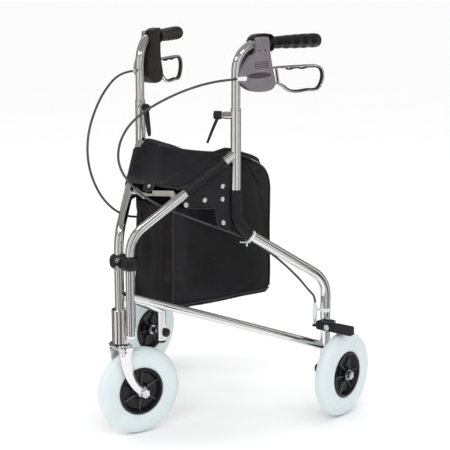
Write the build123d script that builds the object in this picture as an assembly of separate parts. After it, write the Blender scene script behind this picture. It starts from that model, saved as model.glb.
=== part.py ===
from build123d import *
import math
import os

# Three-wheel walker. Units: millimetres and degrees.
# +Z is up, the walker rolls towards -Y, and the user's left side is +X.
# The side frames are drawn from the front posts' line and moved back by ORIGIN_Y at the end,
# so that the origin is on the floor under the middle of the walker.

# ---- wheels
WHEEL_RADIUS = 95
TYRE_WIDTH = 34
RIM_RADIUS = 52
HUB_RADIUS = 15
HUB_WIDTH = 36
AXLE_RADIUS = 5
RUNNING_GAP = 0.05
BEARING_RADIUS = 11
BEARING_WIDTH = 8
SPOKES = 6

# ---- side frames
SPLAY = 29.5                # angle of each side frame to the line of travel
POST_X = 15.5               # front posts stand this far each side of the middle
MAIN_TUBE = 22              # outer diameters
FRONT_TUBE = 20
BAR_TUBE = 18
HANDLE_TUBE = 19
TUBE_WALL = 1
BEND_RADIUS = 65
HANDLE_U = 238              # distances along a side frame, from its front post
LEG_U = 456
POST_TOP_Z = 690
MAIN_CORNER_Z = 442
LEG_CORNER_Z = 304
LEG_END_Z = 74
DIAGONAL_CORNER_Z = 437
DIAGONAL_RISE = 0.69
BAR_FRONT_Z = 312.6
BAR_FALL = 0.357
LEFT_POST_END_Z = 228

# ---- caster
HOUSING_RADIUS = 17.5
HOUSING_BOTTOM_Z = 207
HOUSING_TOP_Z = 281
CASTER_BORE_RADIUS = 14
STEM_RADIUS = 6
POST_SEAT_Z = 266
TRAIL = 42
CASTER_HEADING = 21         # the caster wheel is left turned by this angle
FORK_HALF_WIDTH = 25
FORK_PLATE = 4
CROWN_TOP_Z = 205

# ---- hinge bracket between the front posts
BRACKET_LOW_Z = 369
BRACKET_HIGH_Z = 399
BRACKET_RADIUS = 19.4

# ---- spreader
LINK_U = 105                # the links hang on lugs on the diagonals, here
LUG_REACH = 17
APEX_Y = 65
LINK_WIDTH = 13
LINK_THICK = 3
FLANGE_THICK = 2               # upright flange along each link's front edge
FLANGE_HEIGHT = 11.4
FLANGE_SHORT = 18               # how far short of the middle rivet the flange ends
LUG_Z = 509
PLATE_GAP = 0.3

# ---- handles
HANDLE_BOTTOM_Z = 540
GRIP_Z = 827
HANDLE_BEND = 55
GRIP_SPLAY = 16.8
GRIP_START = 86
GRIP_END = 221
GRIP_RADIUS = 15
HOUSING_HALF = 15           # half the thickness of a brake housing
LEVER_HALF = 4.5
LEVER_PIVOT = (66, 760)     # along the grip and up
CLAMP_Z = 680
CLAMP_TURN = 30             # the clamp screw points inwards and forwards

# ---- rear wheels and brakes
WHEEL_OUT = 46.5            # wheel centre outside its leg
ARM_PIVOT_OUT = 22
ARM_PIVOT_Z = 203
ARM_HEIGHT = 20
ARM_THICK = 13
ARM_BOLT_RADIUS = 4
ARM_TIP_X = 223.5
ARM_TIP_Y = 380
BARREL_LOW_Z = 214
BARREL_HIGH_Z = 250
CABLE_RADIUS = 2.5

# ---- bag
BAG_WALL = 2
BAG_PLAN = [(46, 97), (118, 360)]
BAG_BOTTOM_Z = 264
FLAP_THICK = 2.5
PANEL_THICK = 2
SLEEVE_END_U = 269
PANEL_OUTLINE = [(116, 511), (212, 577), (226, 577), (226, 436), (206, 438), (197, 452), (193, 480),
                 (160, 488), (120, 490)]
STUD_RADIUS = 5.5
STUD_PLACES = [(125, 498), (167, 505), (208, 504), (208, 532), (210, 453)]

ALONG = (math.sin(math.radians(SPLAY)), math.cos(math.radians(SPLAY)))
LEG_X = POST_X + LEG_U * ALONG[0]
LEG_Y = LEG_U * ALONG[1]
HANDLE_X = POST_X + HANDLE_U * ALONG[0]
HANDLE_Y = HANDLE_U * ALONG[1]
REAR_WHEEL_X = LEG_X + WHEEL_OUT
CASTER_Y = TRAIL * math.cos(math.radians(CASTER_HEADING))
ORIGIN_Y = (LEG_Y + CASTER_Y) / 2

GRIP_DIRECTION = (math.sin(math.radians(GRIP_SPLAY)), math.cos(math.radians(GRIP_SPLAY)))
GRIP_PLANE = Plane(
    origin=(HANDLE_X, HANDLE_Y, 0),
    x_dir=(GRIP_DIRECTION[0], GRIP_DIRECTION[1], 0),
    z_dir=(GRIP_DIRECTION[1], -GRIP_DIRECTION[0], 0),
)

LEFT_CABLE = [
    (143.8, 194.7, 757), (134, 162, 757), (110, 123, 750), (87, 82, 737), (68, 41, 720),
    (50, 6, 700), (36, -20, 676), (26, -34, 648), (19, -36, 618), (13, -25, 590),
    (10, -3, 562), (14, 22, 536), (27, 49, 511), (43, 81, 491), (62, 115, 474),
    (82, 150, 456), (104, 190, 437), (124, 225, 420), (143, 256, 402), (163, 288, 376),
    (184, 319, 344), (203, 348, 309), (216, 368, 279), (223.2, 379.5, 266), (223.5, 380, 250.4),
]
RIGHT_CABLE = [
    (-143.8, 194.7, 757), (-134.5, 163, 758), (-125, 120, 751), (-114, 80, 733), (-104, 46, 711),
    (-94, 17, 686), (-86, -5, 660), (-79, -20, 632), (-74, -26, 602), (-70, -24, 572),
    (-67, -13, 542), (-64, 1, 517), (-62, 22, 494), (-63, 50, 475), (-69, 84, 460),
    (-79, 122, 450), (-95, 160, 443), (-112, 196, 434), (-128, 228, 420), (-144, 257, 401),
    (-163, 288, 376), (-184, 319, 344), (-203, 348, 309), (-216, 368, 279),
    (-223.2, 379.5, 266), (-223.5, 380, 250.4),
]


def frame_point(u, z, outward=0):
    """A point of the left side frame: u along it, z up, and outward from its plane."""
    x = POST_X + u * ALONG[0] + outward * ALONG[1]
    y = u * ALONG[1] - outward * ALONG[0]
    return (x, y, z)


def rod(start, end, radius):
    """A round bar between two points."""
    start, end = Vector(*start), Vector(*end)
    base = Plane(origin=start, z_dir=end - start)
    return extrude(base * Circle(radius), amount=(end - start).length)


def ring(start, end, outer, inner):
    return rod(start, end, outer) - rod(start, end, inner)


def swept(points, radius, bend):
    """A round bar along straight runs joined by bends."""
    path = FilletPolyline(*points, radius=bend)
    return sweep(Plane(origin=path @ 0, z_dir=path % 0) * Circle(radius), path=path)


def along_x(y, z):
    """Ends of a line through (y, z) that runs outwards from the left leg."""
    return lambda first, last: ((LEG_X + first, y, z), (LEG_X + last, y, z))


def block(low, high):
    size = [b - a for a, b in zip(low, high)]
    centre = [(a + b) / 2 for a, b in zip(low, high)]
    return Pos(*centre) * Box(*size)


def mirrored(shape):
    return mirror(shape, about=Plane.YZ)


def group(pieces):
    """Separate solids that share one node."""
    return Compound([solid for piece in pieces for solid in piece.solids()])


# ---------------------------------------------------------------- side frames
MAIN_PATH = [
    frame_point(HANDLE_U, POST_TOP_Z),
    frame_point(HANDLE_U, MAIN_CORNER_Z),
    frame_point(LEG_U, LEG_CORNER_Z),
    frame_point(LEG_U, LEG_END_Z),
]


def front_path(bottom_z):
    return [
        frame_point(0, bottom_z),
        frame_point(0, DIAGONAL_CORNER_Z),
        frame_point(HANDLE_U, DIAGONAL_CORNER_Z + DIAGONAL_RISE * HANDLE_U),
    ]


def clamp_point(reach, z=CLAMP_Z):
    """A point on the clamp screw's line, reach away from the handle post's axis."""
    turn = math.radians(CLAMP_TURN)
    return (HANDLE_X - reach * math.cos(turn), HANDLE_Y - reach * math.sin(turn), z)


def main_tube():
    """Handle post, slope and rear leg in one bent tube, with its welded boss and brake tab."""
    outer = swept(MAIN_PATH, MAIN_TUBE / 2, BEND_RADIUS)
    tab = block((LEG_X, LEG_Y - 9.5, 190), (LEG_X + 31, LEG_Y - 4, 216))
    boss = rod(clamp_point(0), clamp_point(24), 8)
    solid = outer + tab + boss
    solid -= swept(MAIN_PATH, MAIN_TUBE / 2 - TUBE_WALL, BEND_RADIUS)
    solid -= rod(clamp_point(4), clamp_point(25), 4 + RUNNING_GAP)
    solid -= rod(*along_x(LEG_Y, WHEEL_RADIUS)(-30, 30), AXLE_RADIUS)
    pivot = LEG_X + ARM_PIVOT_OUT
    return solid - rod((pivot, LEG_Y - 20, ARM_PIVOT_Z), (pivot, LEG_Y + 5, ARM_PIVOT_Z), ARM_BOLT_RADIUS)


def front_tube(bottom_z, link_level):
    """Front post and diagonal in one bent tube, with the spreader's lug."""
    path = front_path(bottom_z)
    lug_low = LUG_Z + link_level * (LINK_THICK + PLATE_GAP)
    lug = block((0, -9, lug_low), (LUG_REACH, 9, lug_low + LINK_THICK))
    lug += Pos(LUG_REACH, 0, lug_low + LINK_THICK / 2) * Cylinder(9, LINK_THICK)
    base = frame_point(LINK_U, 0)
    lug = Pos(base[0], base[1], 0) * Rot(0, 0, 180 - SPLAY) * lug
    solid = swept(path, FRONT_TUBE / 2, BEND_RADIUS) + lug
    solid -= swept(path, FRONT_TUBE / 2 - TUBE_WALL, BEND_RADIUS)
    solid -= swept(MAIN_PATH, MAIN_TUBE / 2, BEND_RADIUS)
    x, y, _ = link_pivot()
    rivet_low = lug_low - 2
    rivet_high = lug_low + 2 * LINK_THICK + PLATE_GAP + 0.5
    solid += rod((x, y, rivet_low), (x, y, rivet_high), 3)
    return solid + rod((x, y, rivet_high), (x, y, rivet_high + 2), 4.2)


def link_pivot():
    return frame_point(LINK_U, LUG_Z, -LUG_REACH)


def lower_bar(bottom_z):
    ends = [frame_point(u, BAR_FRONT_Z - BAR_FALL * u) for u in (0, LEG_U)]
    solid = ring(*ends, BAR_TUBE / 2, BAR_TUBE / 2 - TUBE_WALL)
    solid -= swept(front_path(bottom_z), FRONT_TUBE / 2, BEND_RADIUS)
    solid -= swept(MAIN_PATH, MAIN_TUBE / 2, BEND_RADIUS)
    return max(solid.solids(), key=lambda piece: piece.volume)


def end_cap(x, y, top_z, tube, plug_depth=14):
    """A plastic cap with a plug that fills the end of a vertical tube."""
    cap = Pos(x, y, top_z - 3) * Cylinder(tube / 2, 6)
    cap = fillet(cap.edges().group_by(Axis.Z)[0], 2.5)
    return cap + rod((x, y, top_z), (x, y, top_z + plug_depth), tube / 2 - TUBE_WALL)


def leg_cap():
    cap = end_cap(LEG_X, LEG_Y, LEG_END_Z, MAIN_TUBE)
    return cap - rod(*along_x(LEG_Y, WHEEL_RADIUS)(-30, 30), AXLE_RADIUS)


def post_bush():
    """Plastic bush in the top of the handle post."""
    low, high = (HANDLE_X, HANDLE_Y, POST_TOP_Z - 34), (HANDLE_X, HANDLE_Y, POST_TOP_Z)
    bush = rod(low, high, MAIN_TUBE / 2 - TUBE_WALL)
    bush += rod(high, (HANDLE_X, HANDLE_Y, POST_TOP_Z + 4), MAIN_TUBE / 2)
    bore = HANDLE_TUBE / 2 + RUNNING_GAP
    bush -= rod(low, (HANDLE_X, HANDLE_Y, POST_TOP_Z + 5), bore)
    return bush


def clamp_lever():
    """Screw, washer, hub and moulded arm that grip the telescoping handle."""
    screw = rod(clamp_point(10.3), clamp_point(32), 4)
    washer = rod(clamp_point(24.4), clamp_point(30), 7)
    hub = rod(clamp_point(30), clamp_point(47), 9)
    hub = fillet(hub.edges(), 2.5)
    start, end = clamp_point(39), clamp_point(62, CLAMP_Z - 58)
    across = Plane(origin=start, z_dir=Vector(*end) - Vector(*start))
    tip = Plane(origin=end, x_dir=across.x_dir, z_dir=across.z_dir)
    arm = loft([across * Circle(6.5), tip * Circle(4)])
    return screw + washer + hub + arm + Pos(*end) * Sphere(4)


# ---------------------------------------------------------------- handles
def grip_point(s, z, outward=0):
    x = HANDLE_X + s * GRIP_DIRECTION[0] + outward * GRIP_DIRECTION[1]
    y = HANDLE_Y + s * GRIP_DIRECTION[1] - outward * GRIP_DIRECTION[0]
    return (x, y, z)


HANDLE_PATH = [grip_point(0, HANDLE_BOTTOM_Z), grip_point(0, GRIP_Z), grip_point(GRIP_END - 6, GRIP_Z)]


def handle_tube():
    outer = swept(HANDLE_PATH, HANDLE_TUBE / 2, HANDLE_BEND)
    return outer - swept(HANDLE_PATH, HANDLE_TUBE / 2 - TUBE_WALL, HANDLE_BEND)


def grip():
    body = rod(grip_point(GRIP_START, GRIP_Z), grip_point(GRIP_END, GRIP_Z), GRIP_RADIUS)
    body = fillet(body.edges(), 4)
    body += rod(grip_point(GRIP_START, GRIP_Z), grip_point(GRIP_START + 4, GRIP_Z), 19)
    return body - rod(grip_point(GRIP_START - 1, GRIP_Z), grip_point(GRIP_END - 6, GRIP_Z), HANDLE_TUBE / 2)


def on_grip_plane(outline, half):
    """An outline in (along the grip, up) given a thickness each side of the grip's plane."""
    return extrude(GRIP_PLANE * outline, amount=half, both=True)


def brake_housing():
    """Moulded body on the handle, hollow where the lever's root swings, with the cable socket."""
    outline = make_face(Polyline(
        (34, 810), (38, 842), (84, 846), (85, 790), (102, 744), (98, 733), (88, 726),
        (52, 727), (26, 737), (13, 750), (13, 767), (24, 785), (34, 810), close=True))
    body = on_grip_plane(outline, HOUSING_HALF)
    body = fillet(body.edges().filter_by(GeomType.LINE).filter_by(Axis((0, 0, 0), GRIP_PLANE.z_dir)), 3)
    mouth = make_face(Polyline(
        (54, 748), (54, 772), (72, 806), (110, 806), (110, 700), (72, 736), (54, 748), close=True))
    body -= on_grip_plane(mouth, LEVER_HALF + 0.6)
    body -= swept(HANDLE_PATH, HANDLE_TUBE / 2, HANDLE_BEND)
    pivot = LEVER_PIVOT
    body -= rod(grip_point(*pivot, -12), grip_point(*pivot, 12), 3)
    socket = rod(grip_point(14, 757, 14.2), grip_point(-8, 757, 14.2), 4)
    return body + socket


def brake_lever():
    """Closed loop lever: root with the pivot hole, two bars and a round end."""
    outer = make_face(Polyline(
        (60, 752), (60, 766), (72, 772), (100, 777), (222, 777), (233, 768), (237, 752),
        (230, 732), (216, 716), (130, 716), (108, 734), (72, 746), (60, 752), close=True))
    inner = make_face(Polyline(
        (107, 769), (217, 769), (226, 763), (229, 752), (223, 735), (212, 724), (133, 724),
        (113, 740), (107, 746), (107, 769), close=True))
    loop = on_grip_plane(outer - inner, LEVER_HALF)
    pivot = LEVER_PIVOT
    return loop - rod(grip_point(*pivot, -12), grip_point(*pivot, 12), 3 + RUNNING_GAP)


def lever_pin():
    pivot = LEVER_PIVOT
    return rod(grip_point(*pivot, -12), grip_point(*pivot, 12), 3)


# ---------------------------------------------------------------- wheels
def tyre():
    """Solid tyre about the X axis."""
    half = TYRE_WIDTH / 2
    depth = WHEEL_RADIUS - RIM_RADIUS
    section = Pos(0, (WHEEL_RADIUS + RIM_RADIUS) / 2) * Rectangle(TYRE_WIDTH, depth)
    outer = section.vertices().group_by(Axis.Y)[-1]
    section = fillet(outer, half - 6)
    return revolve(section, axis=Axis.X)


def rim():
    """Spoked plastic rim about the X axis, with a bearing seat at each side."""
    half = HUB_WIDTH / 2
    hub = Rot(0, 90, 0) * Cylinder(HUB_RADIUS, HUB_WIDTH)
    band = Rot(0, 90, 0) * (Cylinder(RIM_RADIUS, 30) - Cylinder(RIM_RADIUS - 6, 31))
    web = Rot(0, 90, 0) * Cylinder(RIM_RADIUS - 3, 3)
    wheel = hub + band + web
    spoke_length = RIM_RADIUS - 4 - HUB_RADIUS + 4
    for turn in range(SPOKES):
        spoke = Pos(0, 0, HUB_RADIUS - 4 + spoke_length / 2) * Box(22, 7, spoke_length)
        wheel += Rot(turn * 360 / SPOKES, 0, 0) * spoke
    wheel -= Rot(0, 90, 0) * Cylinder(BEARING_RADIUS - 2, HUB_WIDTH + 2)
    for side in (-1, 1):
        seat = Pos(side * (half - BEARING_WIDTH / 2), 0, 0) * Rot(0, 90, 0)
        wheel -= seat * Cylinder(BEARING_RADIUS, BEARING_WIDTH)
    return wheel


def wheel_bearings():
    half = HUB_WIDTH / 2
    bearing = Cylinder(BEARING_RADIUS, BEARING_WIDTH) - Cylinder(AXLE_RADIUS + RUNNING_GAP, BEARING_WIDTH)
    places = [Pos(side * (half - BEARING_WIDTH / 2), 0, 0) * Rot(0, 90, 0) for side in (-1, 1)]
    return group([place * bearing for place in places])


def hex_nut(start, end, across_flats):
    start, end = Vector(*start), Vector(*end)
    base = Plane(origin=start, z_dir=end - start)
    return extrude(base * RegularPolygon(across_flats / 2, 6, major_radius=False), amount=(end - start).length)


def rear_axle():
    """Bolt through the leg, the spacer that holds the wheel out, and the lock nut."""
    line = along_x(LEG_Y, WHEEL_RADIUS)
    hub_in, hub_out = WHEEL_OUT - HUB_WIDTH / 2, WHEEL_OUT + HUB_WIDTH / 2
    bolt = rod(*line(-13, hub_out + 9), AXLE_RADIUS)
    bolt += hex_nut(*line(-19, -13), 17)
    spacer = ring(*line(13, hub_in - 0.5), 8, AXLE_RADIUS)
    nut = hex_nut(*line(hub_out + 0.5, hub_out + 7.5), 17) - rod(*line(hub_out, hub_out + 10), AXLE_RADIUS)
    return group([bolt, spacer, nut])


def place_rear(shape):
    return Pos(REAR_WHEEL_X, LEG_Y, WHEEL_RADIUS) * shape


# The caster's parts are drawn with the trail along +X and the axle along Y.
def place_caster(shape):
    return Pos(-POST_X, 0, 0) * Rot(0, 0, 90 - CASTER_HEADING) * shape


def place_front(shape):
    return place_caster(Pos(TRAIL, 0, WHEEL_RADIUS) * Rot(0, 0, 90) * shape)


def front_axle():
    side = HUB_WIDTH / 2
    outer = FORK_HALF_WIDTH + FORK_PLATE / 2
    inner = outer - FORK_PLATE
    point = lambda y: (TRAIL, y, WHEEL_RADIUS)
    bolt = rod(point(-outer - 7), point(outer + 8), AXLE_RADIUS)
    bolt += hex_nut(point(-outer - 7), point(-outer), 17)
    spacers = [ring(point(s * (side + 0.5)), point(s * inner), 8, AXLE_RADIUS) for s in (-1, 1)]
    nut = hex_nut(point(outer), point(outer + 7), 17) - rod(point(outer), point(outer + 8), AXLE_RADIUS)
    return place_caster(group([bolt, *spacers, nut]))


# ---------------------------------------------------------------- caster
def caster_housing():
    x = -POST_X
    body = rod((x, 0, HOUSING_BOTTOM_Z), (x, 0, HOUSING_TOP_Z), HOUSING_RADIUS)
    body = chamfer(body.edges(), 1)
    body -= rod((x, 0, HOUSING_BOTTOM_Z), (x, 0, POST_SEAT_Z - 4), CASTER_BORE_RADIUS)
    return body - rod((x, 0, POST_SEAT_Z), (x, 0, HOUSING_TOP_Z), FRONT_TUBE / 2)


def caster_bearings():
    x = -POST_X
    rings = []
    for low in (HOUSING_BOTTOM_Z + 1, HOUSING_BOTTOM_Z + 33):
        rings.append(ring((x, 0, low), (x, 0, low + 8), CASTER_BORE_RADIUS, STEM_RADIUS + RUNNING_GAP))
    return group(rings)


def fork():
    """Pressed steel fork: crown, two curved legs and the stem."""
    crown = block((-16, -27, CROWN_TOP_Z - 7), (18, 27, CROWN_TOP_Z))
    crown = fillet(crown.edges().filter_by(Axis.Z), 8)
    front = ThreePointArc((-16, CROWN_TOP_Z - 30), (-1, 130), (TRAIL - 9, WHEEL_RADIUS - 7))
    eye = ThreePointArc((TRAIL - 9, WHEEL_RADIUS - 7), (TRAIL + 9, WHEEL_RADIUS - 7), (TRAIL + 9, WHEEL_RADIUS + 7))
    back = ThreePointArc((TRAIL + 9, WHEEL_RADIUS + 7), (23, 136), (18, CROWN_TOP_Z - 30))
    top = Polyline((18, CROWN_TOP_Z - 30), (18, CROWN_TOP_Z), (-16, CROWN_TOP_Z), (-16, CROWN_TOP_Z - 30))
    outline = make_face(front + eye + back + top)
    body = crown
    for side in (-1, 1):
        plane = Plane(origin=(0, side * FORK_HALF_WIDTH, 0), x_dir=(1, 0, 0), z_dir=(0, -1, 0))
        body += extrude(plane * outline, amount=FORK_PLATE / 2, both=True)
    body -= rod((TRAIL, -40, WHEEL_RADIUS), (TRAIL, 40, WHEEL_RADIUS), AXLE_RADIUS)
    body += rod((0, 0, CROWN_TOP_Z), (0, 0, HOUSING_BOTTOM_Z + 0.7), 8)
    body += rod((0, 0, CROWN_TOP_Z), (0, 0, HOUSING_BOTTOM_Z + 52), STEM_RADIUS)
    return place_caster(body)


def stem_nut():
    low = HOUSING_BOTTOM_Z + 41.6
    nut = hex_nut((0, 0, low), (0, 0, low + 8), 19)
    return place_caster(nut - rod((0, 0, low), (0, 0, low + 8), STEM_RADIUS))


# ---------------------------------------------------------------- hinge and spreader
def hinge_bracket():
    """Moulded block that clamps the right post and lets the left post turn."""
    plan = SlotCenterToCenter(2 * POST_X, 2 * BRACKET_RADIUS)
    block_height = BRACKET_HIGH_Z - BRACKET_LOW_Z
    body = extrude(Pos(0, 0, BRACKET_LOW_Z) * plan, amount=block_height)
    body = fillet(body.edges().group_by(Axis.Z)[0] + body.edges().group_by(Axis.Z)[-1], 7)
    for side, gap in ((-1, 0), (1, RUNNING_GAP)):
        x = side * POST_X
        body -= rod((x, 0, BRACKET_LOW_Z - 1), (x, 0, BRACKET_HIGH_Z + 1), FRONT_TUBE / 2 + gap)
    for z in bracket_bolt_heights():
        body -= rod((0, -BRACKET_RADIUS - 1, z), (0, BRACKET_RADIUS + 1, z), 3)
    return body


def bracket_bolt_heights():
    middle = (BRACKET_LOW_Z + BRACKET_HIGH_Z) / 2
    return (middle - 8, middle + 8)


def bracket_bolts():
    bolts = []
    for z in bracket_bolt_heights():
        bolt = rod((0, -BRACKET_RADIUS - 3.5, z), (0, BRACKET_RADIUS + 3.5, z), 3)
        bolt += rod((0, -BRACKET_RADIUS - 4, z), (0, -BRACKET_RADIUS, z), 5)
        bolts.append(bolt + hex_nut((0, BRACKET_RADIUS, z), (0, BRACKET_RADIUS + 4, z), 10))
    return group(bolts)


def link(side, level):
    """An angle bar from one lug to the spreader's middle, where the upper one has the rivet's head."""
    x, y, _ = link_pivot()
    start, end = Vector(side * x, y, 0), Vector(0, APEX_Y, 0)
    low = LUG_Z + (level + 1) * (LINK_THICK + PLATE_GAP)
    middle = (start + end) / 2
    turn = math.degrees(math.atan2(end.Y - start.Y, end.X - start.X))
    place, reach = Pos(middle.X, middle.Y, low) * Rot(0, 0, turn), (end - start).length
    bar = extrude(place * SlotCenterToCenter(reach, LINK_WIDTH), amount=LINK_THICK)
    edges = sorted((side * LINK_WIDTH / 2, side * (LINK_WIDTH / 2 - FLANGE_THICK)))
    bar += place * block((-reach / 2, edges[0], 0), (reach / 2 - FLANGE_SHORT, edges[1], FLANGE_HEIGHT))
    if level:
        bar += rod((0, APEX_Y, low + LINK_THICK), (0, APEX_Y, low + LINK_THICK + 2), 5)
    return bar - rod((start.X, start.Y, low - 1), (start.X, start.Y, low + 5), 3 + RUNNING_GAP)


def apex_rivet():
    """The middle rivet is carried by the right link and stands just under the left one."""
    low = LUG_Z + LINK_THICK + PLATE_GAP
    return rod((0, APEX_Y, low - 3), (0, APEX_Y, low), 5)


# ---------------------------------------------------------------- brakes
def brake_arm():
    """Bar that the cable lifts at its inner tip, so that its outer end presses on the tyre."""
    back = LEG_Y - MAIN_TUBE / 2 - 0.4
    low = ARM_PIVOT_Z - ARM_HEIGHT / 2
    pivot = LEG_X + ARM_PIVOT_OUT
    bar = block((LEG_X - 9, back - ARM_THICK, low), (LEG_X + 84, back, low + ARM_HEIGHT))
    bar = fillet(bar.edges().filter_by(Axis.Y), 3)
    bar += block((ARM_TIP_X - 5, ARM_TIP_Y - 4, low + 4), (LEG_X - 8, ARM_TIP_Y + 4, low + 8))
    bar -= rod((pivot, LEG_Y - 40, ARM_PIVOT_Z), (pivot, LEG_Y, ARM_PIVOT_Z), ARM_BOLT_RADIUS + RUNNING_GAP)
    return bar + rod((ARM_TIP_X, ARM_TIP_Y, low + 8), (ARM_TIP_X, ARM_TIP_Y, BARREL_LOW_Z - 1), 0.8)


def arm_bolt():
    pivot = LEG_X + ARM_PIVOT_OUT
    front = LEG_Y - MAIN_TUBE / 2 - 0.4 - ARM_THICK - 0.4
    bolt = rod((pivot, front, ARM_PIVOT_Z), (pivot, LEG_Y + 3, ARM_PIVOT_Z), ARM_BOLT_RADIUS)
    bolt += rod((pivot, front - 4, ARM_PIVOT_Z), (pivot, front, ARM_PIVOT_Z), 6.5)
    return bolt + hex_nut((pivot, LEG_Y - 4, ARM_PIVOT_Z), (pivot, LEG_Y + 2, ARM_PIVOT_Z), 13)


def return_spring():
    """Compression spring between the cable's barrel and the arm's tip."""
    low = ARM_PIVOT_Z - ARM_HEIGHT / 2 + 8 + 0.9
    high = BARREL_LOW_Z - 0.9
    wire = 0.6
    coil = Helix(pitch=(high - low) / 4, height=high - low, radius=3.2)
    section = Plane(origin=coil @ 0, z_dir=coil % 0) * Circle(wire)
    return Pos(ARM_TIP_X, ARM_TIP_Y, low) * sweep(section, path=coil, is_frenet=True)


def cable_adjuster():
    """Hollow barrel that ends the cable's sleeve, on a bracket from the leg."""
    low, high = (ARM_TIP_X, ARM_TIP_Y, BARREL_LOW_Z), (ARM_TIP_X, ARM_TIP_Y, BARREL_HIGH_Z)
    barrel = rod(low, high, 4.5)
    reach = Vector(LEG_X, LEG_Y, 0) - Vector(ARM_TIP_X, ARM_TIP_Y, 0)
    turn = math.degrees(math.atan2(reach.Y, reach.X))
    arm = Pos(ARM_TIP_X, ARM_TIP_Y, 232) * Rot(0, 0, turn) * block((0, -4, 0), (reach.length, 4, 6))
    solid = barrel + arm - rod(low, (ARM_TIP_X, ARM_TIP_Y, BARREL_HIGH_Z - 6), 3)
    return solid - rod((LEG_X, LEG_Y, 220), (LEG_X, LEG_Y, 250), MAIN_TUBE / 2)


def cable(points):
    """A cable of straight runs joined by arcs as large as the runs allow."""
    corners = [Vector(*p) for p in points]
    radii = []
    for before, here, after in zip(corners, corners[1:], corners[2:]):
        run_in, run_out = here - before, after - here
        half_turn = math.radians(run_in.get_angle(run_out)) / 2
        radii.append(0.45 * min(run_in.length, run_out.length) / math.tan(half_turn))
    path = FilletPolyline(*corners, radius=radii)
    tube = sweep(Plane(origin=path @ 0, z_dir=path % 0) * Circle(CABLE_RADIUS), path=path)
    expected = math.pi * CABLE_RADIUS ** 2 * path.length
    print("cable", round(path.length), "mm, least radius", round(min(radii)),
          "volume ratio", round(tube.volume / expected, 4))
    return tube


# ---------------------------------------------------------------- bag
def bag_outline(inset):
    """Side profile of the bag, along Y and up."""
    front, rear = BAG_PLAN[0][1] + inset, BAG_PLAN[1][1] - inset
    return [(front, BAG_BOTTOM_Z + inset), (front, 498), (114, 499), (205, 586), (250, 588), (300, 577),
            (318, 570), (335 - inset, 560), (350 - inset, 545), (358 - inset, 528), (rear, 512),
            (rear, BAG_BOTTOM_Z + 10), (rear - 8, BAG_BOTTOM_Z + inset)]


def bag_block(inset):
    side = make_face(Polyline(*bag_outline(inset), close=True))
    profile = extrude(Plane.YZ * side, amount=BAG_PLAN[1][0] + 10, both=True)
    (front_x, front_y), (rear_x, rear_y) = BAG_PLAN
    plan = make_face(Polyline(
        (-front_x + inset, front_y), (front_x - inset, front_y), (rear_x - inset, rear_y),
        (-rear_x + inset, rear_y), close=True))
    return profile & extrude(plan, amount=800)


def bag_body():
    """Open-topped shell: front, bottom, two sides and rear."""
    shell = bag_block(0) - bag_block(BAG_WALL)
    above = make_face(Polyline((BAG_PLAN[0][1] - 5, 496), (114, 497), (205, 584), (250, 586), (300, 575),
                               (318, 568), (330, 640), (60, 640), close=True))
    cut = extrude(Plane.YZ * above, amount=200, both=True)
    return max((shell - cut).solids(), key=lambda piece: piece.volume)


def bag_flap():
    """Cover over the bag's mouth, from behind the handle posts down to the spreader."""
    line = [(100, 530), (203, 611), (225, 607.5), (258, 598), (290, 588.5), (312, 580), (320, 576)]
    raised = [(y, z + FLAP_THICK) for y, z in reversed(line)]
    side = make_face(Polyline(*line, *raised, close=True))
    sheet = extrude(Plane.YZ * side, amount=200, both=True)
    plan = make_face(Polyline((-56, 99), (56, 99), (110, 203), (112, 322), (-112, 322), (-110, 203),
                              close=True))
    return sheet & extrude(plan, amount=800)


def sleeve():
    """Vinyl sleeves on the diagonal and on the handle post's bend, with the panel between them."""
    slope = [frame_point(u, DIAGONAL_CORNER_Z + DIAGONAL_RISE * u) for u in (124, 212)]
    upper = ring(*slope, FRONT_TUBE / 2 + 2.2, FRONT_TUBE / 2 + 0.2)
    end_z = MAIN_CORNER_Z - (MAIN_CORNER_Z - LEG_CORNER_Z) * (SLEEVE_END_U - HANDLE_U) / (LEG_U - HANDLE_U)
    path = [frame_point(HANDLE_U, 522), frame_point(HANDLE_U, MAIN_CORNER_Z), frame_point(SLEEVE_END_U, end_z)]
    radius = MAIN_TUBE / 2
    post = swept(path, radius + 2.2, BEND_RADIUS) - swept(path, radius + 0.2, BEND_RADIUS)
    origin, along = Vector(*frame_point(0, 0)), Vector(*frame_point(1, 0)) - Vector(*frame_point(0, 0))
    side_plane = Plane(origin=origin, x_dir=along, z_dir=Vector(ALONG[1], -ALONG[0], 0))
    outline = make_face(Polyline(*PANEL_OUTLINE, close=True))
    panel = extrude(side_plane * outline, amount=PANEL_THICK / 2, both=True)
    panel -= rod(frame_point(90, DIAGONAL_CORNER_Z + DIAGONAL_RISE * 90), slope[1], FRONT_TUBE / 2 + 2.3)
    panel -= rod(slope[1], frame_point(240, DIAGONAL_CORNER_Z + DIAGONAL_RISE * 240), FRONT_TUBE / 2 + 2.3)
    panel -= swept(path, radius + 2.3, BEND_RADIUS)
    panel -= rod(path[0], frame_point(HANDLE_U, 600), radius + 2.3)
    return group([upper, post, max(panel.solids(), key=lambda piece: piece.volume)])


def studs():
    """Press studs that close the left sleeves' panel."""
    low, high = PANEL_THICK / 2, PANEL_THICK / 2 + 3
    return group([rod(frame_point(u, z, low), frame_point(u, z, high), STUD_RADIUS) for u, z in STUD_PLACES])


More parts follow.
